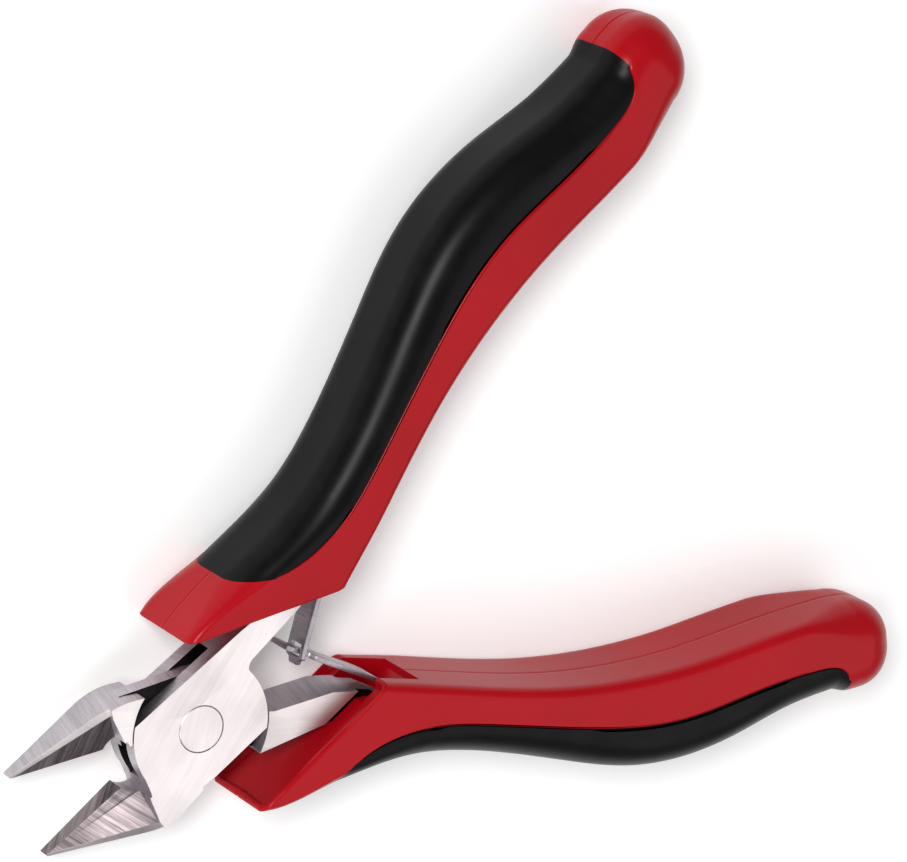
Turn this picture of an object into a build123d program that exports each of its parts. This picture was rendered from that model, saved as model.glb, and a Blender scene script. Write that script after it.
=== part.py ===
from build123d import *
import math
import os

# Sprue nippers: two steel halves crossing in a slip joint, a pivot rivet, two leaf springs hooked
# together between the handles, and a two-part grip on each handle.
#
# Row frame: the origin is on the pivot axis at the joint's flat back face.
# +X runs along the handles' bisector, +Y to the slotted half's handle, +Z out of the front face.
# Each half is drawn in its own closed frame, with its handle at y > 0 and its jaw at y < 0,
# and is then turned outwards by half of the opening angle.

# Overall, in millimetres and degrees
HALF_OPEN = 14.4          # angle of each half from the closed position at rest
JOINT_T = 5.9             # thickness of both halves at the joint
GRIP_LOW = -3.5           # back face of the grips
GRIP_HIGH = 9.4           # front face of the grips
MID_Z = JOINT_T / 2

# Slip joint
CHEEK_R = 8.1             # round ends of the slotted half's cheeks
SHOULDER_R = 8.25         # hollow shoulders of the tongue half, around the cheeks
TONGUE_R = 6.0
TONGUE_FRONT_R = 7.2      # the tongue reaches further towards the jaws
SLOT_R = 6.15
SLOT_FRONT_R = 7.35
TONGUE_T = 2.0
SLOT_T = 2.1
PIVOT_R = 2.7
PIVOT_CLEARANCE = 0.04
PIVOT_CHAMFER = 0.15

# Jaws
JAW_TIP_X = -20.8
JAW_GAP = 0.02            # each cutting face stands off the middle by this much when closed
BITE_START_X = -9.5
FACET_Z = 2.6             # height of the ground facet over the cutting face, at BITE_START_X
FACET_FALL = 0.0947       # fall of the facet towards the tip, per millimetre
FACET_RISE = 0.574        # rise of the facet towards the outer edge, per millimetre
STRIP_Z = 5.5             # height of the narrow strip along the outer edge, at BITE_START_X
STRIP_FALL = 0.358

# Tang, the part of each half inside its grip
TANG_T = 4.0
NECK_BACK_OFF = 0.15      # the full thickness ends this far before the mouth of the grip

# Leaf springs
LEAF_T = 0.6
LEAF_W = 3.4
LEAF_NECK_W = 1.7
WINDOW_W = 2.2
SPRING_RIVET_R = 0.8
SPRING_RIVET_HEAD_R = 1.3
SPRING_RIVET_HEAD_T = 0.5
SPRING_RIVET_L = 2.6

# Grips
NOSE_LOW = (4.9, 10.4)
NOSE_TIP = (4.45, 11.7)
BAR_END_X = 84.0
CAP_CENTRE = (84.5, 20.0)
CAP_R = 5.95
CAP_EDGE_R = 4.3
OUTER_EDGE_R = 4.2
INNER_EDGE_R = 1.3
INLAY_DEPTH = 1.7
CORE_EDGE_R = 2.6
NOTCH_LOW = -1.1
NOTCH_HIGH = 6.4
MOUTH_NOSE = (6.6, 9.0)   # the straight mouth of the grip runs from here to MOUTH_HEEL
MOUTH_HEEL = (19.3, 2.35)


def plate(edges, low, high):
    """Solid between two heights over a closed outline in the XY plane."""
    face = make_face(edges)
    return extrude(Pos(0, 0, low) * face, amount=high - low, dir=(0, 0, 1))


def polygon(points, low, high):
    return plate([Polyline(*points, close=True)], low, high)


def on_circle(radius, degrees):
    turn = math.radians(degrees)
    return (radius * math.cos(turn), radius * math.sin(turn))


def arc(radius, start, end):
    """Arc about the pivot, between two angles in degrees."""
    return ThreePointArc(
        on_circle(radius, start),
        on_circle(radius, (start + end) / 2),
        on_circle(radius, end),
    )


def offset_points(points, distance):
    """Points moved sideways, to the left of the direction of travel."""
    moved = []
    for i, (x, y) in enumerate(points):
        x0, y0 = points[max(i - 1, 0)]
        x1, y1 = points[min(i + 1, len(points) - 1)]
        length = math.hypot(x1 - x0, y1 - y0)
        moved.append((x - (y1 - y0) / length * distance, y + (x1 - x0) / length * distance))
    return moved


def above_plane(z_at, fall_x, rise_y):
    """Half space over z = z_at + fall_x * (x - BITE_START_X) - rise_y * y."""
    normal = (-fall_x, rise_y, 1.0)
    plane = Plane(origin=(BITE_START_X, 0, z_at), z_dir=normal)
    return plane * Box(60, 60, 30, align=(Align.CENTER, Align.CENTER, Align.MIN))


def mouth_point(along, outward=0.0):
    """Point on the straight mouth of the grip, moved outward towards the joint."""
    dx = MOUTH_HEEL[0] - MOUTH_NOSE[0]
    dy = MOUTH_HEEL[1] - MOUTH_NOSE[1]
    length = math.hypot(dx, dy)
    x = MOUTH_NOSE[0] + dx * along + dy / length * outward
    y = MOUTH_NOSE[1] + dy * along - dx / length * outward
    return (x, y)


# Jaws --------------------------------------------------------------------------------------------

JAW_WALL = [(-9.95, -8.0), (-9.9, -4.6), (-9.1, -1.8), (-8.7, -0.8), (-8.2, 1.0)]


def grind_jaw(blank):
    """Grinds the facet and the tapered strip into the front of a jaw and opens the throat."""
    ground = polygon(JAW_WALL + [(-30, 1.0), (-30, -8.0)], 0, 2 * JOINT_T)
    blank -= ground & above_plane(FACET_Z, FACET_FALL, FACET_RISE)
    blank -= ground & above_plane(STRIP_Z, STRIP_FALL, 0)
    throat = plate(
        [
            Polyline((-7.6, 1.0), (-10.4, 1.0), (-10.2, -JAW_GAP)),
            ThreePointArc((-10.2, -JAW_GAP), (-9.7, -1.0), (-8.75, -1.6)),
            Line((-8.75, -1.6), (-7.6, 1.0)),
        ],
        -1,
        JOINT_T + 1,
    )
    return blank - throat


def jaw_outer_edge(last_point):
    """Outer edge of a jaw from its tip to the joint."""
    return [
        Polyline((JAW_TIP_X, -JAW_GAP), (JAW_TIP_X, -0.25), (-11.4, -5.1)),
        ThreePointArc((-11.4, -5.1), (-9.2, -5.8), (-6.9, -5.85)),
        Line((-6.9, -5.85), last_point),
    ]


# Tangs -------------------------------------------------------------------------------------------

TANG_INNER_START = (24.0, 5.3)
TANG_INNER_END = (44.0, 13.2)


def tang():
    """Thin bar inside the grip, from the mouth to the middle of the handle."""
    outline = [
        mouth_point(0.64, NECK_BACK_OFF),
        (24.0, 8.1),
        (34.0, 12.3),
        (44.0, 16.0),
        TANG_INNER_END,
        TANG_INNER_START,
        (21.0, 2.9),
        mouth_point(1.0, NECK_BACK_OFF),
    ]
    return polygon(outline, MID_Z - TANG_T / 2, MID_Z + TANG_T / 2)


def leaf_seat(along):
    """Point on the leaf's middle line where it lies on the tang's inner edge."""
    dx = TANG_INNER_END[0] - TANG_INNER_START[0]
    dy = TANG_INNER_END[1] - TANG_INNER_START[1]
    length = math.hypot(dx, dy)
    x = TANG_INNER_START[0] + dx / length * along + dy / length * LEAF_T / 2
    y = TANG_INNER_START[1] + dy / length * along - dx / length * LEAF_T / 2
    return (x, y)


# Steel halves ------------------------------------------------------------------------------------

def slotted_half():
    """Half with the slot: two cheeks, a jaw and a tang."""
    neck_out = mouth_point(0.64, NECK_BACK_OFF)
    neck_in = mouth_point(1.0, NECK_BACK_OFF)
    arc_top = on_circle(CHEEK_R, 6.5)
    arc_low = on_circle(CHEEK_R, -47.0)
    corner = on_circle(CHEEK_R, 130.6)
    step = on_circle(CHEEK_R, 176.0)
    cheeks = plate(
        [
            Polyline(corner, (10.2, 5.15), neck_out, neck_in, (16.2, 1.9), (9.3, 1.6)),
            ThreePointArc((9.3, 1.6), (8.5, 1.4), arc_top),
            arc(CHEEK_R, 6.5, -47.0),
            Polyline(arc_low, (-2.2, -5.6), (-9.5, -4.6), step),
            arc(CHEEK_R, 176.0, 130.6),
        ],
        0,
        JOINT_T,
    )
    jaw = plate(
        jaw_outer_edge((-4.0, -5.7)) + [
            Polyline((-4.0, -5.7), (-4.0, -1.0), (-8.1, -1.0), (-8.1, -JAW_GAP)),
            Line((-8.1, -JAW_GAP), (JAW_TIP_X, -JAW_GAP)),
        ],
        0,
        JOINT_T,
    )
    half = cheeks + grind_jaw(jaw)
    slot = plate(
        [
            Line((-12, -0.05), (-SLOT_FRONT_R, -0.05)),
            ThreePointArc((-SLOT_FRONT_R, -0.05), on_circle(SLOT_FRONT_R, 205), on_circle(SLOT_FRONT_R, 229)),
            Line(on_circle(SLOT_FRONT_R, 229), on_circle(SLOT_R * 1.35, 229)),
            Polyline(
                on_circle(SLOT_R * 1.35, 229), (12, -9), (12, 0.2), (7.75, 0.2), (6.4, 6.0),
                (6.1, 9), (-12, 9), (-12, -0.05),
            ),
        ],
        MID_Z - SLOT_T / 2,
        MID_Z + SLOT_T / 2,
    )
    half -= slot
    half -= Pos(0, 0, -1) * Cylinder(PIVOT_R, JOINT_T + 2, align=(Align.CENTER, Align.CENTER, Align.MIN))
    return half + tang()


def tongue_half():
    """Half with the tongue that turns in the slot: a disc, a jaw and a tang."""
    neck_out = mouth_point(0.64, NECK_BACK_OFF)
    neck_in = mouth_point(1.0, NECK_BACK_OFF)
    handle = plate(
        [
            arc(SHOULDER_R, 5.5, 39.0),
            Polyline(on_circle(SHOULDER_R, 39.0), neck_out, neck_in, (16.2, 1.3), (8.9, 1.0),
                     on_circle(SHOULDER_R, 5.5)),
        ],
        0,
        JOINT_T,
    )
    jaw = plate(
        jaw_outer_edge((-5.95, -5.75)) + [
            Line((-5.95, -5.75), on_circle(SHOULDER_R, 224.0)),
            arc(SHOULDER_R, 224.0, 187.0),
            Polyline(on_circle(SHOULDER_R, 187.0), (-8.5, -0.9), (-8.5, -JAW_GAP)),
            Line((-8.5, -JAW_GAP), (JAW_TIP_X, -JAW_GAP)),
        ],
        0,
        JOINT_T,
    )
    low = MID_Z - TONGUE_T / 2
    high = MID_Z + TONGUE_T / 2
    disc = Pos(0, 0, low) * Cylinder(TONGUE_R, TONGUE_T, align=(Align.CENTER, Align.CENTER, Align.MIN))
    front = plate(
        [
            Polyline(on_circle(TONGUE_R, 100), (-5.0, 4.2), on_circle(TONGUE_FRONT_R, 152)),
            arc(TONGUE_FRONT_R, 152, 180),
            Polyline((-TONGUE_FRONT_R, 0), (-8.6, -0.4), (-8.9, -3.0), (-8.0, -6.0), (-0.6, -5.95),
                     (0, 0), on_circle(TONGUE_R, 100)),
        ],
        low,
        high,
    )
    back = polygon(
        [(0, 0), on_circle(TONGUE_R, 2), (8.9, 1.0), (10.5, 3.0), (6.6, 5.0), (4.0, 4.47)], low, high
    )
    half = handle + grind_jaw(jaw) + disc + front + back
    bore = Cylinder(PIVOT_R + PIVOT_CLEARANCE, JOINT_T, align=(Align.CENTER, Align.CENTER, Align.MIN))
    return half - bore + tang()


def pivot_rivet():
    rivet = Cylinder(PIVOT_R, JOINT_T, align=(Align.CENTER, Align.CENTER, Align.MIN))
    return chamfer(rivet.edges().filter_by(GeomType.CIRCLE), PIVOT_CHAMFER)


# Leaf springs ------------------------------------------------------------------------------------

def open_to_closed(points):
    """Points of the open position, with the handle at y > 0, in the half's closed frame."""
    turn = math.radians(-HALF_OPEN)
    c, s = math.cos(turn), math.sin(turn)
    return [(c * x - s * y, s * x + c * y) for x, y in points]


LEAF_ROOT = [leaf_seat(10.5), leaf_seat(6.0), leaf_seat(1.5)]
LEAF_HOOK = (14.5, 0.0)   # where the two leaves cross, in the open position


def strip(points, low, high):
    """Bent strip of the leaf's thickness along a smooth middle line."""
    left = offset_points(points, LEAF_T / 2)
    right = offset_points(points, -LEAF_T / 2)
    outline = [
        Spline(*left), Line(left[-1], right[-1]), Spline(*reversed(right)), Line(right[0], left[0])
    ]
    return plate(outline, low, high)


def slotted_leaf():
    """Leaf whose end has a window and a rounded tab."""
    tip = open_to_closed([(20.9, 7.8), (18.6, 4.9), (16.4, 2.3), (14.5, 0.0), (13.6, -1.25)])
    leaf = strip(LEAF_ROOT + tip, MID_Z - LEAF_W / 2, MID_Z + LEAF_W / 2)
    x, y = open_to_closed([LEAF_HOOK])[0]
    window = Pos(x, y, MID_Z) * Cylinder(0.85, WINDOW_W)
    ends = polygon([(x - 4, y - 4), (x + 1.6, y - 4), (x - 4, y + 1.6)], -1, JOINT_T + 1)
    tab = Plane(origin=(x, y, MID_Z), z_dir=(0.63, 0.78, 0)) * Cylinder(1.9, 4)
    return leaf - window - (ends - tab)


def hooked_leaf():
    """Leaf whose narrow neck goes through the window and ends in a wide head."""
    tip = open_to_closed([(20.9, 7.8), (18.6, 4.9), (16.4, 2.3), (14.5, 0.0), (12.9, -1.95)])
    leaf = strip(LEAF_ROOT + tip, MID_Z - LEAF_W / 2, MID_Z + LEAF_W / 2)
    x, y = open_to_closed([LEAF_HOOK])[0]
    waist = Pos(x, y, MID_Z) * Cylinder(1.35, LEAF_W + 1)
    waist -= Pos(x, y, MID_Z) * Cylinder(2, LEAF_NECK_W)
    return leaf - waist


def spring_rivet():
    """Small rivet through the root of a leaf into the tang's edge."""
    x, y = leaf_seat(7.5)
    dx = TANG_INNER_END[0] - TANG_INNER_START[0]
    dy = TANG_INNER_END[1] - TANG_INNER_START[1]
    inward = Plane(origin=(x, y, MID_Z), z_dir=(dy, -dx, 0))
    shank = Cylinder(SPRING_RIVET_R, SPRING_RIVET_L, align=(Align.CENTER, Align.CENTER, Align.MAX))
    head = Cylinder(
        SPRING_RIVET_HEAD_R, SPRING_RIVET_HEAD_T, align=(Align.CENTER, Align.CENTER, Align.MIN)
    )
    return inward * (Pos(0, 0, LEAF_T / 2) * (shank + head))


# Grips -------------------------------------------------------------------------------------------

GRIP_OUTER = [(5.6, 12.7), (12.5, 12.1), (20.0, 11.3), (25.5, 11.9), (31.0, 13.6), (44.5, 19.9),
              (52.0, 23.1), (59.0, 24.4), (66.0, 24.2), (73.5, 23.2), (81.5, 23.4)]
GRIP_INNER = [(84.0, 14.7), (71.0, 13.0), (62.5, 12.5), (54.0, 11.7), (42.5, 9.1), (29.3, 4.2),
              (21.9, 1.4)]
INLAY_EDGE = [(9.0, 18.0), (12.4, 12.2), (14.6, 9.8), (19.5, 7.8), (24.5, 7.7), (33.6, 10.4),
              (46.3, 15.3), (53.9, 17.6), (60.0, 18.4), (68.0, 18.3), (77.0, 18.7), (81.6, 20.6),
              (82.3, 23.4), (80.0, 27.5)]


def long_edges(solid, outer):
    """Long edges of the front and back faces, along the outer or the inner side."""
    found = []
    for edge in solid.edges():
        low = edge.bounding_box().min
        high = edge.bounding_box().max
        if high.Z - low.Z < 0.01 and high.X - low.X > 40 and (high.Y > 20) == outer:
            found.append(edge)
    return found


def grip_body():
    """Whole outer shape of one grip with its round end."""
    run_in = (-2.0, 13.2)
    run_out = (92.0, 24.0)
    inner_out = (92.0, 15.6)
    inner_in = (12.0, -2.0)
    bar = plate(
        [
            Spline(run_in, *GRIP_OUTER, run_out),
            Line(run_out, inner_out),
            Spline(inner_out, *GRIP_INNER, inner_in),
            Line(inner_in, run_in),
        ],
        GRIP_LOW,
        GRIP_HIGH,
    )
    bar = fillet(long_edges(bar, True), OUTER_EDGE_R)
    bar = fillet(long_edges(bar, False), INNER_EDGE_R)
    ends = plate(
        [
            Polyline((GRIP_OUTER[0][0], 40), (BAR_END_X, 40), (BAR_END_X, -8), (GRIP_INNER[-1][0], -8),
                     GRIP_INNER[-1], MOUTH_HEEL, MOUTH_NOSE, NOSE_LOW),
            ThreePointArc(NOSE_LOW, NOSE_TIP, GRIP_OUTER[0]),
            Line(GRIP_OUTER[0], (GRIP_OUTER[0][0], 40)),
        ],
        GRIP_LOW,
        GRIP_HIGH,
    )
    height = GRIP_HIGH - GRIP_LOW
    cap = Pos(*CAP_CENTRE, GRIP_LOW) * Cylinder(
        CAP_R, height, align=(Align.CENTER, Align.CENTER, Align.MIN)
    )
    cap = fillet(cap.edges().filter_by(GeomType.CIRCLE), CAP_EDGE_R)
    return (bar & ends) + cap


def inlay_space():
    """Space of the soft inlay: the outer side of the grip down to INLAY_DEPTH."""
    region = plate(
        [Spline(*INLAY_EDGE), Polyline(INLAY_EDGE[-1], (80.0, 40.0), (9.0, 40.0), INLAY_EDGE[0])],
        GRIP_LOW - 1,
        GRIP_HIGH + 1,
    )
    outer = [(x, y) for x, y in offset_points(GRIP_OUTER, -INLAY_DEPTH)]
    core = plate(
        [Spline(*outer), Polyline(outer[-1], (95, 22), (95, 2), (0, 2), outer[0])],
        GRIP_LOW + INLAY_DEPTH,
        GRIP_HIGH - INLAY_DEPTH,
    )
    long_outer = []
    for edge in core.edges():
        box = edge.bounding_box()
        if box.max.Z - box.min.Z < 0.01 and box.max.X - box.min.X > 70 and box.max.Y > 20:
            if edge.geom_type != GeomType.LINE:
                long_outer.append(edge)
    core = fillet(long_outer, CORE_EDGE_R)
    return region - core


def notch():
    """Pocket at the grip's heel that the leaf spring comes out of."""
    outline = [(26.9, 3.1), (24.6, 5.0), (23.4, 5.0), (20.6, 3.5), (17.5, 3.3), (17.5, -3), (28, -3)]
    return polygon(outline, NOTCH_LOW, NOTCH_HIGH)


# Assembly ----------------------------------------------------------------------------------------

def place(shape, upper):
    """Turns a shape from its half's closed frame to the open position."""
    if upper:
        return Rot(0, 0, HALF_OPEN) * shape
    return Rot(0, 0, -HALF_OPEN) * mirror(shape, about=Plane.XZ)


body = grip_body()
space = inlay_space()
inlay = body & space
shell = body - space

nodes = {"pivot_rivet": pivot_rivet()}
for side, steel, leaf in (
    ("upper", slotted_half(), slotted_leaf()),
    ("lower", tongue_half(), hooked_leaf()),
):
    upper = side == "upper"
    rivet = spring_rivet()
    leaf -= rivet
    steel -= rivet
    steel -= leaf
    half_name = "slotted_half" if upper else "tongue_half"
    leaf_name = "slotted_leaf_spring" if upper else "hooked_leaf_spring"
    nodes[half_name] = place(steel, upper)
    nodes[leaf_name] = place(leaf, upper)
    nodes[f"{side}_spring_rivet"] = place(rivet, upper)
    nodes[f"{side}_grip_shell"] = place(shell - notch() - steel - leaf - rivet, upper)
    nodes[f"{side}_grip_inlay"] = place(inlay, upper)

os.makedirs("parts", exist_ok=True)
for name, solid in nodes.items():
    solid.label = name
    export_step(solid, f"parts/{name}.step")
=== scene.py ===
import math

import bmesh
import bpy
import numpy as np
from mathutils import Matrix, Vector


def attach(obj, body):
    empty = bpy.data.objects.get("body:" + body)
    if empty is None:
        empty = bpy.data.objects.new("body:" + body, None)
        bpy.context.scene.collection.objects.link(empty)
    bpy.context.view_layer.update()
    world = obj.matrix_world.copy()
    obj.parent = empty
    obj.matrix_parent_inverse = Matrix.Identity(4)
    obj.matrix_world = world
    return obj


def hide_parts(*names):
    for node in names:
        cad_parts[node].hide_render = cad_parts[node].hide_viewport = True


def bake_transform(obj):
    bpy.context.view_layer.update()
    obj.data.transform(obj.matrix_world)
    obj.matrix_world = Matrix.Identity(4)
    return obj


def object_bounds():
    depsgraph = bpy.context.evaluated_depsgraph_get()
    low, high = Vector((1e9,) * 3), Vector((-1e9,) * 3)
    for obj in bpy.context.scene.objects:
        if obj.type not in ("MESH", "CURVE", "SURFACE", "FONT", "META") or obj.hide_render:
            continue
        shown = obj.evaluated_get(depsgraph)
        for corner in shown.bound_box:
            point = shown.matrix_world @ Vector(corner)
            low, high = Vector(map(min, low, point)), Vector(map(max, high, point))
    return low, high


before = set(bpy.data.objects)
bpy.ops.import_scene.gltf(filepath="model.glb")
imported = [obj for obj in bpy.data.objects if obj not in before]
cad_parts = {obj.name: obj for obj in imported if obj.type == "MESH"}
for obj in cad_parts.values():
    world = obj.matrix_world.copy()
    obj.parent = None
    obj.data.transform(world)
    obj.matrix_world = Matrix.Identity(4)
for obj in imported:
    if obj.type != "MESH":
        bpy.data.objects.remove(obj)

CAD_BOX = [[float(c) for c in corner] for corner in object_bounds()]

# The row frame is in metres. Shapes are drawn here in millimetres, in the closed frame of a half:
# handle at y > 0, jaw at y < 0. They are then turned to the open position and scaled.
MM = 0.001
HALF_OPEN = math.radians(14.4)
MID_Z = 2.95       # middle of the joint's thickness and of the grips
GRIP_H = 6.45      # half the thickness of a grip
UPPER, LOWER = "upper_handle_half", "lower_handle_half"


def turned(x, y, angle):
    """The point or points (x, y) turned about the pivot."""
    c, s = math.cos(angle), math.sin(angle)
    return c * x - s * y, s * x + c * y


def to_row(points, upper):
    """Closed-frame millimetres to row-frame metres."""
    p = np.asarray(points, float).copy()
    x, y = turned(p[:, 0], p[:, 1], HALF_OPEN)
    p[:, 0] = x
    p[:, 1] = y if upper else -y
    return p * MM


def spline(points, count):
    """Points of a natural cubic spline through the given points, evenly spaced along it."""
    p = np.asarray(points, float)
    t = np.concatenate([[0], np.cumsum(np.linalg.norm(np.diff(p, axis=0), axis=1))])
    n = len(p)
    a = np.eye(n)
    b = np.zeros((n, p.shape[1]))
    h = np.diff(t)
    for i in range(1, n - 1):
        a[i, i - 1:i + 2] = h[i - 1], 2 * (h[i - 1] + h[i]), h[i]
        b[i] = 6 * ((p[i + 1] - p[i]) / h[i] - (p[i] - p[i - 1]) / h[i - 1])
    m = np.linalg.solve(a, b)

    def at(q):
        k = np.clip(np.searchsorted(t, q) - 1, 0, n - 2)
        u = (t[k + 1] - q)[:, None]
        v = (q - t[k])[:, None]
        hk = h[k][:, None]
        return (
            m[k] * u**3 / (6 * hk) + m[k + 1] * v**3 / (6 * hk)
            + (p[k] / hk - m[k] * hk / 6) * u + (p[k + 1] / hk - m[k + 1] * hk / 6) * v
        )

    fine = at(np.linspace(0, t[-1], count * 6))
    length = np.concatenate([[0], np.cumsum(np.linalg.norm(np.diff(fine, axis=0), axis=1))])
    even = np.linspace(0, length[-1], count)
    return np.stack([np.interp(even, length, fine[:, k]) for k in range(p.shape[1])], 1)


def add_to_scene(name, data):
    """New object that holds the given mesh, light or camera."""
    obj = bpy.data.objects.new(name, data)
    bpy.context.scene.collection.objects.link(obj)
    return obj


def new_object(name, verts, faces, material, smooth_angle):
    mesh = bpy.data.meshes.new(name)
    mesh.from_pydata([tuple(v) for v in verts], [], [tuple(int(i) for i in f) for f in faces])
    obj = add_to_scene(name, mesh)
    mesh.materials.append(material)
    clean(mesh)
    shade(mesh, smooth_angle)
    return obj


def clean(mesh):
    """Merges doubles, drops empty faces and turns every face outwards."""
    bm = bmesh.new()
    bm.from_mesh(mesh)
    bmesh.ops.remove_doubles(bm, verts=bm.verts, dist=2e-6)
    bmesh.ops.dissolve_degenerate(bm, edges=bm.edges, dist=1e-6)
    bmesh.ops.recalc_face_normals(bm, faces=bm.faces)
    bm.to_mesh(mesh)
    bm.free()


def shade(mesh, angle):
    """Smooth shading, with edges sharper than the angle in degrees left sharp."""
    mesh.shade_smooth()
    mesh.set_sharp_from_angle(angle=math.radians(angle))


# Materials ---------------------------------------------------------------------------------------

class Shader:
    """Short names for building a node material."""

    def __init__(self, name, **inputs):
        self.material = bpy.data.materials.new(name)
        self.material.use_nodes = True
        self.tree = self.material.node_tree
        self.bsdf = self.tree.nodes["Principled BSDF"]
        for key, value in inputs.items():
            self.bsdf.inputs[key.replace("_", " ")].default_value = value

    def node(self, kind, **values):
        n = self.tree.nodes.new(kind)
        for key, value in values.items():
            if key in n.inputs:
                n.inputs[key].default_value = value
            else:
                setattr(n, key, value)
        return n

    def link(self, a, b):
        self.tree.links.new(a, b)

    def noise(self, scale, stretch=(1, 1, 1), turn=(0, 0, 0), detail=4.0, rough=0.55):
        """Noise in object space; scale is in cells per metre."""
        coords = self.node("ShaderNodeTexCoord")
        mapping = self.node("ShaderNodeMapping")
        mapping.inputs["Rotation"].default_value = turn
        mapping.vector_type = "TEXTURE"
        mapping.inputs["Scale"].default_value = [1 / (scale * s) for s in stretch]
        tex = self.node("ShaderNodeTexNoise")
        tex.inputs["Scale"].default_value = 1.0
        tex.inputs["Detail"].default_value = detail
        tex.inputs["Roughness"].default_value = rough
        self.link(coords.outputs["Object"], mapping.inputs["Vector"])
        self.link(mapping.outputs["Vector"], tex.inputs["Vector"])
        return tex.outputs["Fac"]

    def span(self, value, low, high, to_low, to_high):
        """The value's range from low to high, moved to the range from to_low to to_high."""
        n = self.node("ShaderNodeMapRange")
        n.inputs["From Min"].default_value = low
        n.inputs["From Max"].default_value = high
        n.inputs["To Min"].default_value = to_low
        n.inputs["To Max"].default_value = to_high
        self.link(value, n.inputs["Value"])
        return n.outputs["Result"]

    def ramp(self, value, *stops):
        """Colour ramp with stops as (place, (red, green, blue))."""
        n = self.node("ShaderNodeValToRGB")
        elements = n.color_ramp.elements
        for i, (place, colour) in enumerate(stops):
            e = elements[i] if i < 2 else elements.new(place)
            e.position = place
            e.color = (*colour, 1)
        self.link(value, n.inputs["Fac"])
        return n.outputs["Color"]

    def bump(self, *layers):
        """Bump layers as (height, distance in metres)."""
        last = None
        for height, distance in layers:
            n = self.node("ShaderNodeBump")
            n.inputs["Strength"].default_value = 1.0
            n.inputs["Distance"].default_value = distance
            self.link(height, n.inputs["Height"])
            if last:
                self.link(last, n.inputs["Normal"])
            last = n.outputs["Normal"]
        self.link(last, self.bsdf.inputs["Normal"])


def steel_material(name, dark, light, rough, turn, stretch, depth, scale=3000, contrast=(0.15, 0.85)):
    """Ground steel with scratches along one direction and cloudy changes of polish.

    The scratches' depth is in metres and their scale in lines per metre.
    """
    s = Shader(name, Metallic=1.0)
    lines = s.noise(scale, stretch, turn, detail=3, rough=0.7)
    broad = s.noise(scale / 5, stretch, turn, detail=2)
    cloud = s.noise(120, detail=3)
    mix = s.node("ShaderNodeMath", operation="ADD")
    s.link(s.span(lines, 0.3, 0.7, 0.0, 0.55), mix.inputs[0])
    s.link(s.span(broad, 0.3, 0.7, 0.0, 0.45), mix.inputs[1])
    low, high = contrast
    s.link(s.ramp(mix.outputs[0], (low, dark), (high, light)), s.bsdf.inputs["Base Color"])
    s.link(s.span(cloud, 0.3, 0.7, rough * 0.8, rough * 1.25), s.bsdf.inputs["Roughness"])
    s.bump((lines, depth), (broad, depth * 2))
    return s.material


# The cutting faces and the slot walls are coloured near-black: painted shade for the shadow between the
# jaws and inside the box joint.
FACE, SIDE, FACET, SHADED_BITE, SHADED_SLOT = range(5)     # places in the list that steel_set returns


def steel_set(side, sign):
    """Front face, side, facet, cutting face and slot colours of one half; the near-black cutting face
    and slot colours are painted shade.
    """
    return [
        steel_material(f"{side}_ground_face", (0.70, 0.64, 0.645), (0.80, 0.735, 0.74), 0.38,
                       (0, 0, sign * 0.55), (0.05, 1, 1), 8e-7),
        steel_material(f"{side}_side_face", (0.38, 0.35, 0.38), (0.56, 0.52, 0.55), 0.42,
                       (0, sign * 0.2, sign * 0.15), (1, 0.04, 0.04), 1e-6, 5500),
        steel_material(f"{side}_jaw_facet", (0.08, 0.065, 0.07), (0.34, 0.29, 0.30), 0.5,
                       (0, 0, -sign * 1.05), (0.03, 1, 0.03), 3e-6, 6500, (0.2, 0.8)),
        # Cutting faces: real grinding lines on a near-black base; the dark base is painted shade
        # between the closing jaws.
        steel_material(f"{side}_cutting_face_painted_shade", (0.05, 0.04, 0.045), (0.34, 0.29, 0.30), 0.44,
                       (0, sign * 0.7, 0), (0.03, 0.03, 1), 3e-6, 5500),
        # Slot walls: near-black steel, painted shade inside the box joint.
        steel_material(f"{side}_slot_walls_painted_shade", (0.008, 0.007, 0.008), (0.03, 0.026, 0.028), 0.5,
                       (0, 0, 0), (1, 1, 0.2), 3e-6),
    ]


LEAF_STEEL = steel_material(
    "steel_leaf_spring", (0.30, 0.27, 0.30), (0.48, 0.44, 0.47), 0.36, (0, 0, 0), (1, 1, 0.15), 1e-6)
RIVET_STEEL = steel_material(
    "steel_rivet", (0.67, 0.61, 0.615), (0.77, 0.705, 0.71), 0.38, (0, 0, 0.9), (0.06, 1, 1), 8e-7)


def red_plastic():
    s = Shader("red_moulded_plastic", Roughness=0.3, IOR=1.5)
    s.bsdf.inputs["Specular IOR Level"].default_value = 0.12
    s.bsdf.inputs["Coat Weight"].default_value = 0.05
    s.bsdf.inputs["Coat Roughness"].default_value = 0.12
    cloud = s.noise(45, detail=2)
    s.link(
        s.ramp(cloud, (0.3, (0.35, 0.002, 0.006)), (0.7, (0.41, 0.003, 0.009))),
        s.bsdf.inputs["Base Color"],
    )
    s.link(s.span(cloud, 0.3, 0.7, 0.27, 0.33), s.bsdf.inputs["Roughness"])
    s.bump((cloud, 2e-5))
    return s.material


def black_rubber():
    s = Shader("black_soft_inlay", Roughness=0.34, IOR=1.48)
    s.bsdf.inputs["Specular IOR Level"].default_value = 0.1
    cloud = s.noise(70, detail=2)
    wear = s.noise(300, detail=4)
    s.link(
        s.ramp(wear, (0.35, (0.0025, 0.0025, 0.003)), (0.75, (0.006, 0.0055, 0.006))),
        s.bsdf.inputs["Base Color"],
    )
    s.link(s.span(cloud, 0.3, 0.7, 0.28, 0.38), s.bsdf.inputs["Roughness"])
    s.bump((cloud, 2e-5))
    return s.material


RED = red_plastic()
BLACK = black_rubber()


# Grips -------------------------------------------------------------------------------------------

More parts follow.
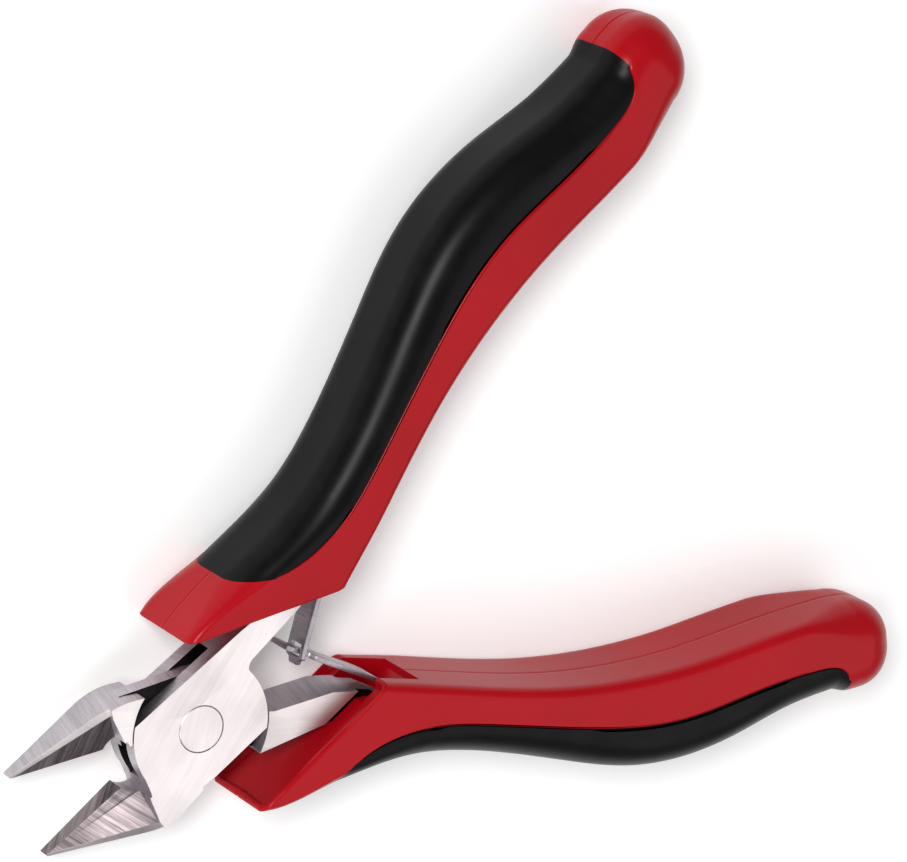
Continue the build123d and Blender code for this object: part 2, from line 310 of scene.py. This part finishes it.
CURVE_POINTS = 900
OUTER = spline([(2.6, 10.2), (4.4, 10.7), (8.0, 11.2), (13.0, 11.3), (20.0, 11.2), (25.5, 11.9),
                (31.0, 13.6), (44.5, 19.9), (52.0, 23.1), (59.0, 24.4), (66.0, 24.2), (73.5, 23.2),
                (81.5, 23.4), (86.0, 23.8)], CURVE_POINTS)
INNER = spline([(20.0, 0.7), (21.9, 1.4), (29.3, 4.2), (42.5, 9.1), (54.0, 11.7), (62.5, 12.5),
                (71.0, 12.6), (79.0, 12.9), (84.0, 13.6), (86.0, 14.2)], CURVE_POINTS)
INLAY_EDGE = spline([(9.0, 18.0), (12.4, 12.2), (14.6, 9.8), (19.5, 7.8), (24.5, 7.7), (33.6, 10.4),
                     (46.3, 15.3), (53.9, 17.6), (60.0, 18.4), (68.0, 18.3), (76.0, 18.6),
                     (80.6, 20.2), (81.6, 22.6), (80.0, 27.5)], CURVE_POINTS)
HEEL_X, BAR_END_X = 21.9, 84.0       # where the sections start and end on the inner line
STATIONS, BUNCHING = 300, 0.45       # sections along the bar, closer together at the nose
NOSE_LEAD, NOSE_FADE = 17.6, 8.0     # how far the nose runs ahead of the heel, and how fast that fades
LEAN, LEAN_LOSS, LEAN_X = 3.0, 2.6, 45.0     # slant of the sections; most goes by the end
OUTER_SPREAD, INNER_SPREAD = 0.8, 0.15       # both lines spread a little at the round end
OUTER_SPREAD_X, INNER_SPREAD_X = (79.8, 82.4), (80.0, 84.0)
MOUTH_THIN, MOUTH_STATIONS = 0.05, 60        # part of the thickness missing at the mouth
END_THIN, END_THIN_X = 0.25, (76.0, 84.0)    # the bar also thins before the round end
INNER_R, INNER_R_GAIN = 1.2, 3.4     # edge radius on the inner side, and its growth at the round end
INNER_R_X = (75.0, 85.5)
OUTER_R, OUTER_R_GAIN = 1.3, 2.9     # edge radius on the outer side, and its growth past the nose
OUTER_R_X = (5.0, 13.5)
CAP_LENGTH = 5.7
CAP_RINGS = 26
CAP_BLUNT = 0.96                     # 1 would be an elliptical end
SEAM = [0.0, 0.07, 0.15]     # a fine mould line along the middle of the inner and outer sides
SEAM_DEPTH = 0.06
N_RIDGE, N_FLAT, N_BEND, N_SIDE = 16, 18, 18, 24     # points on each stretch of a section
# The gap between shell and inlay, as (distance along the section, depth) from the inlay's edge.
GROOVE = [(0.0, 0.0), (0.10, 0.02), (0.19, 0.08), (0.26, 0.19), (0.28, 0.34), (0.28, 1.1)]
GROOVE_OFF = 0.30
BED_DEPTH = 1.1              # how far the shell drops away under the inlay


def at_x(curve, x):
    """Points of the curve at the given x values."""
    return np.stack([x, np.interp(x, curve[:, 0], curve[:, 1])], 1)


def ease(value, low, high):
    """0 below low, 1 above high, smooth between them."""
    t = np.clip((value - low) / (high - low), 0, 1)
    return t * t * (3 - 2 * t)


def crossing(start, end):
    """How far along start to end the line meets the inlay's edge, or 1 if it doesn't."""
    d = end - start
    a = INLAY_EDGE - start
    side = d[0] * a[:, 1] - d[1] * a[:, 0]
    best = 1.0
    for k in np.nonzero(side[:-1] * side[1:] < 0)[0]:
        w = side[k] / (side[k] - side[k + 1])
        p = a[k] + w * (a[k + 1] - a[k])
        along = float(p @ d) / float(d @ d)
        if 0 < along < best:
            best = along
    return best


class Section:
    """Half of the grip's section, from the middle of the inner side to the middle of the outer side.

    Points are (u, z): u runs from the inner to the outer side, z from the middle to the front.
    """

    def __init__(self, length, height, r_in, r_out):
        turn = np.linspace(0, math.pi / 2, 40)
        r_u = min(r_out * 1.15, length * 0.5)
        inner = np.stack([r_in - r_in * np.cos(turn), height - r_in + r_in * np.sin(turn)], 1)
        outer = np.stack([length - r_u + r_u * np.sin(turn), height - r_out + r_out * np.cos(turn)], 1)
        self.p = np.concatenate([[[0.0, 0.0]], inner, outer, [[length, 0.0]]])
        step = np.linalg.norm(np.diff(self.p, axis=0), axis=1)
        self.d = np.concatenate([[0], np.cumsum(step)])
        self.ridge_end = self.d[len(inner)] + 0.3
        self.bend_start = max(self.d[len(inner) + 1], self.ridge_end + 0.2)
        self.total = self.d[-1]

    def at(self, distance):
        """Points at the given distances along the section."""
        distance = np.atleast_1d(distance)
        return np.stack([np.interp(distance, self.d, self.p[:, k]) for k in (0, 1)], 1)

    def distance_of(self, u):
        """Distance along the section at which it reaches u on its front."""
        front = np.arange(1, len(self.p) - 1)
        return float(np.clip(np.interp(u, self.p[front, 0], self.d[front]), self.ridge_end, self.total))

    def normal(self, distance):
        """Outward normal and direction of travel."""
        a, b = self.at(distance - 0.1)[0], self.at(min(distance + 0.1, self.total))[0]
        t = (b - a) / max(np.linalg.norm(b - a), 1e-9)
        return np.array([-t[1], t[0]]), t

    def red_side(self, edge):
        """Mould line, ridge and flat, up to the inlay's edge."""
        ridge = np.linspace(0.5, self.ridge_end, N_RIDGE)
        flat = np.linspace(self.ridge_end, edge, N_FLAT)[1:]
        points = self.at(np.concatenate([SEAM, ridge, flat]))
        points[0, 0] += SEAM_DEPTH
        points[1, 0] += SEAM_DEPTH * 0.6
        return points

    def outer_side(self, edge, seam_depth=0.0):
        """From the inlay's edge round the outer bend to the middle."""
        first = min(max(edge + 0.1, self.bend_start), self.total - 0.02)
        flat = np.linspace(edge, first, N_BEND)
        bend = np.linspace(first, self.total, N_SIDE)[1:-1]
        seam = [self.total - SEAM[2], self.total - SEAM[1], self.total]
        points = self.at(np.concatenate([flat, bend[bend < seam[0] - 0.05], seam]))
        points[-2, 0] -= seam_depth
        points[-1, 0] -= seam_depth * 1.6
        return points


def bar_lines():
    """Ends of every section on the inner and on the outer line."""
    e = np.linspace(0, 1, STATIONS)
    bunched = (1 - BUNCHING) * e + BUNCHING * e**2
    x_in = HEEL_X + (BAR_END_X - HEEL_X) * bunched
    lag = np.exp(-(x_in - HEEL_X) / NOSE_FADE)
    lean = LEAN - LEAN_LOSS * np.clip((x_in - LEAN_X) / (BAR_END_X - LEAN_X), 0, 1)
    x_out = x_in - NOSE_LEAD * lag - lean * (1 - lag)
    inside, outside = at_x(INNER, x_in), at_x(OUTER, x_out)
    outside[:, 1] += OUTER_SPREAD * ease(x_out, *OUTER_SPREAD_X)
    inside[:, 1] -= INNER_SPREAD * ease(x_in, *INNER_SPREAD_X)
    return inside, outside


def grip_rings():
    """Sections of the shell and of the inlay, from the mouth to the round end."""
    inside, outside = bar_lines()
    edges = np.array([crossing(p, q) for p, q in zip(inside, outside)])
    open_ = edges < 0.999
    known = np.nonzero(open_)[0]
    shell, inlay = [], []
    for k in range(STATIONS):
        start, end = inside[k], outside[k]
        length = float(np.linalg.norm(end - start))
        direction = (end - start) / length
        height = GRIP_H * (1 - MOUTH_THIN + MOUTH_THIN * ease(k, 0, MOUTH_STATIONS))
        height -= END_THIN * ease(start[0], *END_THIN_X)
        r_in = INNER_R + INNER_R_GAIN * ease(start[0], *INNER_R_X)
        r_out = OUTER_R + OUTER_R_GAIN * ease(end[0], *OUTER_R_X)
        part = Section(length, height, r_in, r_out)
        nearest = known[np.argmin(abs(known - k))]
        edge = part.distance_of(edges[nearest] * length)
        depth = 1.0 if open_[k] else 0.0
        normal, travel = part.normal(edge)
        red = list(part.red_side(edge))
        corner = red.pop()
        for along, down in GROOVE:
            red.append(corner + depth * (travel * (along - GROOVE_OFF) - normal * down))
        middle = np.array([length * 0.55, 0.0])
        floor = part.outer_side(edge, SEAM_DEPTH)[1:]
        toward = middle - floor
        toward /= np.linalg.norm(toward, axis=1, keepdims=True)
        red += list(floor + depth * toward * BED_DEPTH)
        black = []
        for along, down in reversed(GROOVE):
            black.append(corner + depth * (-travel * (along - GROOVE_OFF) - normal * down))
        black += list(part.outer_side(edge + 0.02)[1:])
        shell.append((start, direction, np.array(red)))
        inlay.append((start, direction, np.array(black), bool(open_[k])))
    return shell, inlay


def lift(start, direction, point, sign):
    """A section's (u, z) point in the closed frame, on the front (1) or the back (-1)."""
    xy = start + direction * point[0]
    return (xy[0], xy[1], MID_Z + sign * min(point[1], GRIP_H))


def ring_points(start, direction, half):
    """Full ring of 3-D points from one half section: front, then back."""
    front = [lift(start, direction, p, 1) for p in half]
    back = [lift(start, direction, p, -1) for p in half[-2:0:-1]]
    return front + back


def tube(rings):
    """Quads between closed rings, with both ends closed by fans."""
    n = len(rings[0])
    verts = [p for ring in rings for p in ring]
    faces = []
    for k in range(len(rings) - 1):
        for i in range(n):
            j = (i + 1) % n
            faces.append((k * n + i, k * n + j, (k + 1) * n + j, (k + 1) * n + i))
    for k in (0, len(rings) - 1):
        centre = np.mean(rings[k], axis=0)
        verts.append(tuple(centre))
        c = len(verts) - 1
        for i in range(n):
            faces.append((k * n + i, k * n + (i + 1) % n, c))
    return verts, faces


# The rim of the mouth, as (distance in from the grip's surface, distance out along MOUTH_AXIS).
MOUTH_RIM = ((2.2, -0.5), (1.2, -0.5), (0.95, -0.2), (0.7, 0.32), (0.4, 0.34), (0.12, 0.2))
MOUTH_AXIS = np.array([-0.4695, -0.8829, 0.0])
CAP_AXIS = np.array([0.994, 0.11, 0.0])


def mouth_rings(ring):
    """Rounded rim and sunk floor that close the mouth end of a grip."""
    p = np.array(ring)
    centre = p.mean(axis=0)
    rings = []
    for inset, push in MOUTH_RIM:
        toward = centre - p
        size = np.linalg.norm(toward, axis=1, keepdims=True)
        rings.append((p + toward / size * np.minimum(inset, size * 0.4) + MOUTH_AXIS * push).tolist())
    return rings


def cap_rings(ring):
    """Rings that close the far end of a grip in a smooth round end."""
    p = np.array(ring)
    centre = (p.max(axis=0) + p.min(axis=0)) / 2
    rings = []
    for phi in np.linspace(0, math.pi / 2, CAP_RINGS)[1:-1]:
        rings.append((centre + (p - centre) * math.cos(phi) ** CAP_BLUNT
                      + CAP_AXIS * CAP_LENGTH * math.sin(phi)).tolist())
    return rings


def cut_away(obj, tool):
    """Takes the tool's shape out of the object, then deletes the tool."""
    m = obj.modifiers.new("cut", "BOOLEAN")
    m.operation = "DIFFERENCE"
    m.solver = "EXACT"
    m.object = tool
    depsgraph = bpy.context.evaluated_depsgraph_get()
    mesh = bpy.data.meshes.new_from_object(obj.evaluated_get(depsgraph))
    obj.modifiers.clear()
    obj.data = mesh
    tool_mesh = tool.data
    bpy.data.objects.remove(tool)
    bpy.data.meshes.remove(tool_mesh)


def prism(name, outline, low, high, upper, material):
    """Straight-sided solid over an outline in the closed frame."""
    n = len(outline)
    verts = [(x, y, low) for x, y in outline] + [(x, y, high) for x, y in outline]
    faces = [tuple(range(n))[::-1], tuple(range(n, 2 * n))]
    faces += [(i, (i + 1) % n, n + (i + 1) % n, n + i) for i in range(n)]
    return new_object(name, to_row(verts, upper), faces, material, 30)


# The notch in the inner side that the leaf spring comes out of.
NOTCH = [(26.9, 2.6), (26.3, 3.9), (24.6, 4.9), (23.2, 4.9), (20.4, 3.5), (17.0, 3.2), (15.0, -4.0),
         (29.0, -4.0)]
NOTCH_LOW, NOTCH_HIGH = -1.1, 6.4
SHELL_SMOOTH, INLAY_SMOOTH = 32, 50


def make_shell(side, body, shell):
    upper = side == "upper"
    rings = [ring_points(*row) for row in shell]
    rings = mouth_rings(rings[0]) + rings + cap_rings(rings[-1])
    verts, faces = tube(rings)
    obj = new_object(f"{side}_grip_moulding", to_row(verts, upper), faces, RED, SHELL_SMOOTH)
    cut_away(obj, prism(f"{side}_notch", NOTCH, NOTCH_LOW, NOTCH_HIGH, upper, RED))
    clean(obj.data)
    shade(obj.data, SHELL_SMOOTH)
    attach(obj, body)
    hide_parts(f"{side}_grip_shell")


def make_inlay(side, body, inlay):
    """Closed skin over the stretch where the inlay shows, and one section past each of its ends."""
    used = [k for k, row in enumerate(inlay) if row[3]]
    strip = [row[:3] for row in inlay[used[0] - 1:used[-1] + 2]]
    verts, faces = [], []
    for start, direction, half in strip:
        verts += [lift(start, direction, p, 1) for p in half]
        verts += [lift(start, direction, p, -1) for p in half[-2::-1]]
    count = 2 * len(strip[0][2]) - 1
    for k in range(len(strip) - 1):
        for i in range(count - 1):
            a, b = k * count + i, (k + 1) * count + i
            faces.append((a, a + 1, b + 1, b))
        faces.append((k * count + count - 1, k * count, (k + 1) * count, (k + 1) * count + count - 1))
    for k in (0, len(strip) - 1):
        faces.append(tuple(range(k * count, (k + 1) * count)))
    obj = new_object(
        f"{side}_grip_soft_inlay", to_row(verts, side == "upper"), faces, BLACK, INLAY_SMOOTH)
    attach(obj, body)
    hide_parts(f"{side}_grip_inlay")


SHELL_SECTIONS, INLAY_SECTIONS = grip_rings()
for grip_side, grip_body in (("upper", UPPER), ("lower", LOWER)):
    make_shell(grip_side, grip_body, SHELL_SECTIONS)
    make_inlay(grip_side, grip_body, INLAY_SECTIONS)


# Steel halves ------------------------------------------------------------------------------------

# Directions in the closed frame that tell the ground faces of a jaw apart.
FACET_NORMAL = Vector((-0.0947, 0.574, 1.0)).normalized()
STRIP_NORMAL = Vector((-0.358, 0.0, 1.0)).normalized()
SAME_WAY = 0.995
JAW_X = -9                   # the cutting faces lie beyond this
STEEL_BEVEL = 0.09


def closed_frame(vector, upper):
    """A direction or place of the row frame, turned into the closed frame of a half."""
    v = vector.copy()
    if not upper:
        v.y = -v.y
    return Matrix.Rotation(-HALF_OPEN, 3, "Z") @ v


def finish_or_shade_of(normal, centre):
    """Which steel finish or painted shade a face gets, from its direction and place in the closed
    frame.
    """
    if normal.dot(FACET_NORMAL) > SAME_WAY:
        return FACET
    if normal.dot(STRIP_NORMAL) > SAME_WAY:
        return FACE
    # Cutting faces get painted shade.
    if normal.y > 0.99 and centre.x < JAW_X:
        return SHADED_BITE
    if abs(normal.z) > 0.9:
        # Faces inside the joint's thickness get the painted shade of the slot walls.
        return FACE if centre.z > 5.5 or centre.z < 0.4 else SHADED_SLOT
    return SIDE


def steel_piece(node, name, body):
    """Copy of a CAD node with rounded edges and its own ground finish on each kind of face, with
    painted shade on the cutting faces and the slot walls.
    """
    upper = body == UPPER
    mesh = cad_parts[node].data.copy()
    mesh.name = name
    obj = add_to_scene(name, mesh)
    mesh.materials.clear()
    for m in steel_set(node, 1 if upper else -1):
        mesh.materials.append(m)
    bm = bmesh.new()
    bm.from_mesh(mesh)
    bmesh.ops.remove_doubles(bm, verts=bm.verts, dist=1e-6)
    bmesh.ops.dissolve_limit(
        bm, angle_limit=math.radians(0.6), verts=bm.verts, edges=bm.edges, delimit={"NORMAL"})
    for f in bm.faces:
        centre = closed_frame(f.calc_center_median() / MM, upper)
        f.material_index = finish_or_shade_of(closed_frame(f.normal, upper), centre)
    sharp = [e for e in bm.edges if len(e.link_faces) == 2 and e.calc_face_angle(0) > math.radians(28)
             and e.calc_length() > 0.3 * MM]
    bmesh.ops.bevel(
        bm, geom=sharp, offset=STEEL_BEVEL * MM, offset_type="OFFSET", segments=2, profile=0.5,
        affect="EDGES", clamp_overlap=True, material=-1)
    bmesh.ops.recalc_face_normals(bm, faces=bm.faces)
    bm.to_mesh(mesh)
    bm.free()
    shade(mesh, 24)
    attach(obj, body)
    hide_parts(node)
    return obj


steel_piece("slotted_half", "slotted_half_ground", UPPER)
steel_piece("tongue_half", "tongue_half_ground", LOWER)


def rivet_head(node, material):
    """Gives a CAD rivet its finish and a fine rounded rim."""
    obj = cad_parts[node]
    for s in obj.material_slots:
        s.material = material
    bevel = obj.modifiers.new("rim", "BEVEL")
    bevel.width = 0.06 * MM
    bevel.segments = 2
    bevel.limit_method = "ANGLE"
    bevel.angle_limit = math.radians(35)


for rivet in ("pivot_rivet", "upper_spring_rivet", "lower_spring_rivet"):
    rivet_head(rivet, RIVET_STEEL)


# Leaf springs ------------------------------------------------------------------------------------

LEAF_W, LEAF_T = 3.4, 0.6
LEAF_BEVEL = 0.08
# Places in the open row frame, on the upper half's side.
HOOK = (14.5, 0.0)
ROOT = (20.9, 7.8)


def leaf_path(tip):
    """Middle line of a leaf in the closed frame: along the tang, out of the notch, to the hook."""
    seat = [(33.87, 8.88), (29.69, 7.23), (25.51, 5.57)]
    bend = [ROOT, (18.6, 4.9), (16.4, 2.3), HOOK, tip]
    return spline(seat + [turned(x, y, -HALF_OPEN) for x, y in bend], 97)


def leaf_rows(bm, tip, widths, hole_width, upper):
    """Rows of vertices across both faces of a leaf, and each row's distance from the hook."""
    path = leaf_path(tip)
    gap = np.linalg.norm(path - np.array(turned(*HOOK, -HALF_OPEN)), axis=1)
    length = np.concatenate([[0], np.cumsum(np.linalg.norm(np.diff(path, axis=0), axis=1))])
    place = length - length[int(np.argmin(gap))]
    marks = np.unique(np.concatenate([place[:-8:2], np.linspace(-2.4, place[-1], 36)]))
    xy = np.stack([np.interp(marks, place, path[:, k]) for k in (0, 1)], 1)
    tangent = np.gradient(xy, axis=0)
    tangent /= np.linalg.norm(tangent, axis=1, keepdims=True)
    across = np.stack([-tangent[:, 1], tangent[:, 0]], 1) * LEAF_T / 2
    rows = []
    for k, m in enumerate(marks):
        half = widths(m) / 2
        hole = min(hole_width / 2 if hole_width else half * 0.5, half * 0.8)
        zs = [-half, -hole, 0.0, hole, half]
        both = []
        for sign in (-1, 1):
            x, y = xy[k] + sign * across[k]
            both.append([bm.verts.new(q) for q in to_row([(x, y, MID_Z + z) for z in zs], upper)])
        rows.append(both)
    return rows, marks


def close_strip(bm, rows, is_open):
    """Faces on both sides of the strip and round every rim; is_open(k) leaves the middle out."""
    for k in range(len(rows) - 1):
        for i in range(len(rows[0][0]) - 1):
            if is_open(k) and i in (1, 2):
                continue
            a, b = rows[k], rows[k + 1]
            bm.faces.new((a[0][i], a[0][i + 1], b[0][i + 1], b[0][i]))
            bm.faces.new((a[1][i], b[1][i], b[1][i + 1], a[1][i + 1]))
    opposite = {v: w for row in rows for v, w in zip(row[0], row[1])}
    rim = [e for e in bm.edges if len(e.link_faces) == 1 and all(v in opposite for v in e.verts)]
    for v, w in [tuple(e.verts) for e in rim]:
        bm.faces.new((v, w, opposite[w], opposite[v]))
    bmesh.ops.recalc_face_normals(bm, faces=bm.faces)


def leaf(body, tip, widths, window, name, node):
    """Bent strip. widths(m) is its width at m mm past the hook; window is (start, end, width)."""
    upper = body == UPPER
    bm = bmesh.new()
    rows, marks = leaf_rows(bm, tip, widths, window[2] if window else None, upper)
    close_strip(
        bm, rows, lambda k: window and window[0] <= marks[k] and marks[k + 1] <= window[1])
    edges = [e for e in bm.edges if len(e.link_faces) == 2 and e.calc_face_angle(0) > math.radians(50)]
    bmesh.ops.bevel(bm, geom=edges, offset=LEAF_BEVEL * MM, offset_type="OFFSET", segments=2,
                    profile=0.5, affect="EDGES", clamp_overlap=True)
    mesh = bpy.data.meshes.new(name)
    bm.to_mesh(mesh)
    bm.free()
    mesh.materials.append(LEAF_STEEL)
    shade(mesh, 35)
    obj = add_to_scene(name, mesh)
    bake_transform(obj)
    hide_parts(node)


def slotted_width(m):
    """Full width, then a round-ended tab past the window."""
    if m < 0.75:
        return LEAF_W
    shoulder = min(1.0, (m - 0.75) / 0.3)
    end = min(1.0, max(0.0, m - 1.0) / 0.75)
    return (LEAF_W - (LEAF_W - 1.9) * shoulder) * (0.35 + 0.65 * math.sqrt(1 - end**2))


def hooked_width(m):
    """A narrow neck at the hook and a wide head past it."""
    neck = 1.7
    if m < -1.7:
        return LEAF_W
    if m < -1.1:
        return LEAF_W + (neck - LEAF_W) * (m + 1.7) / 0.6
    if m < 0.95:
        return neck
    return min(LEAF_W, neck + (LEAF_W - neck) * (m - 0.95) / 0.35)


leaf(UPPER, (13.6, -1.25), slotted_width, (-0.85, 0.75, 2.2),
     "upper_leaf_spring", "slotted_leaf_spring")
leaf(LOWER, (12.9, -1.95), hooked_width, None, "lower_leaf_spring", "hooked_leaf_spring")


# Stage -------------------------------------------------------------------------------------------

FLOOR_HALF, FLOOR_STEPS = 3.0, 24
FLOOR_GAP = 0.00005
LIGHT_TARGET = (0.03, 0, 0)
CAMERA_PLACE = (-0.1257, 0.2423, 0.4036)
CAMERA_TURN = (-17.605, -31.147, -22.513)     # degrees


def pale_floor():
    """Large pale floor just under the grips."""
    z = CAD_BOX[0][2] - FLOOR_GAP
    ticks = [FLOOR_HALF * (2 * i / FLOOR_STEPS - 1) for i in range(FLOOR_STEPS + 1)]
    bm = bmesh.new()
    grid = [[bm.verts.new((x, y, z)) for y in ticks] for x in ticks]
    for i in range(FLOOR_STEPS):
        for j in range(FLOOR_STEPS):
            bm.faces.new((grid[i][j], grid[i + 1][j], grid[i + 1][j + 1], grid[i][j + 1]))
    mesh = bpy.data.meshes.new("floor")
    bm.to_mesh(mesh)
    bm.free()
    s = Shader("pale_floor", Roughness=0.9)
    s.bsdf.inputs["Specular IOR Level"].default_value = 0.1
    s.bsdf.inputs["Emission Color"].default_value = (1, 1, 1, 1)
    s.bsdf.inputs["Emission Strength"].default_value = 0.12
    tone = s.noise(3, detail=2)
    s.link(
        s.ramp(tone, (0.3, (0.955, 0.955, 0.955)), (0.7, (0.97, 0.97, 0.97))),
        s.bsdf.inputs["Base Color"],
    )
    mesh.materials.append(s.material)
    floor = add_to_scene("floor", mesh)


def area_light(name, place, size, power):
    """Rectangular lamp that faces the object. Size is in metres and power in watts."""
    data = bpy.data.lights.new(name, "AREA")
    data.shape = "RECTANGLE"
    data.size, data.size_y = size
    data.energy = power
    obj = add_to_scene(name, data)
    obj.location = place
    obj.rotation_euler = (Vector(LIGHT_TARGET) - Vector(place)).to_track_quat("-Z", "Y").to_euler()


def studio():
    """White surroundings and three soft lamps."""
    world = bpy.data.worlds.new("studio")
    world.use_nodes = True
    background = world.node_tree.nodes["Background"]
    background.inputs["Color"].default_value = (1, 1, 1, 1)
    background.inputs["Strength"].default_value = 0.25
    bpy.context.scene.world = world
    area_light("key", (-0.22, 0.40, 0.50), (0.30, 0.16), 3.3)
    area_light("front", (0.21, -0.28, 0.48), (0.60, 0.60), 1.35)
    area_light("rim", (-0.35, -0.05, 0.16), (0.10, 0.40), 0.5)


def camera():
    """Camera at the photograph's place and angle."""
    data = bpy.data.cameras.new("camera")
    data.lens = 178.6
    data.sensor_width = 36.0
    data.clip_start = 0.01
    data.clip_end = 20.0
    obj = add_to_scene("camera", data)
    obj.location = CAMERA_PLACE
    obj.rotation_euler = [math.radians(a) for a in CAMERA_TURN]
    bpy.context.scene.camera = obj


pale_floor()
studio()
camera()
bpy.context.scene.view_settings.view_transform = "Standard"
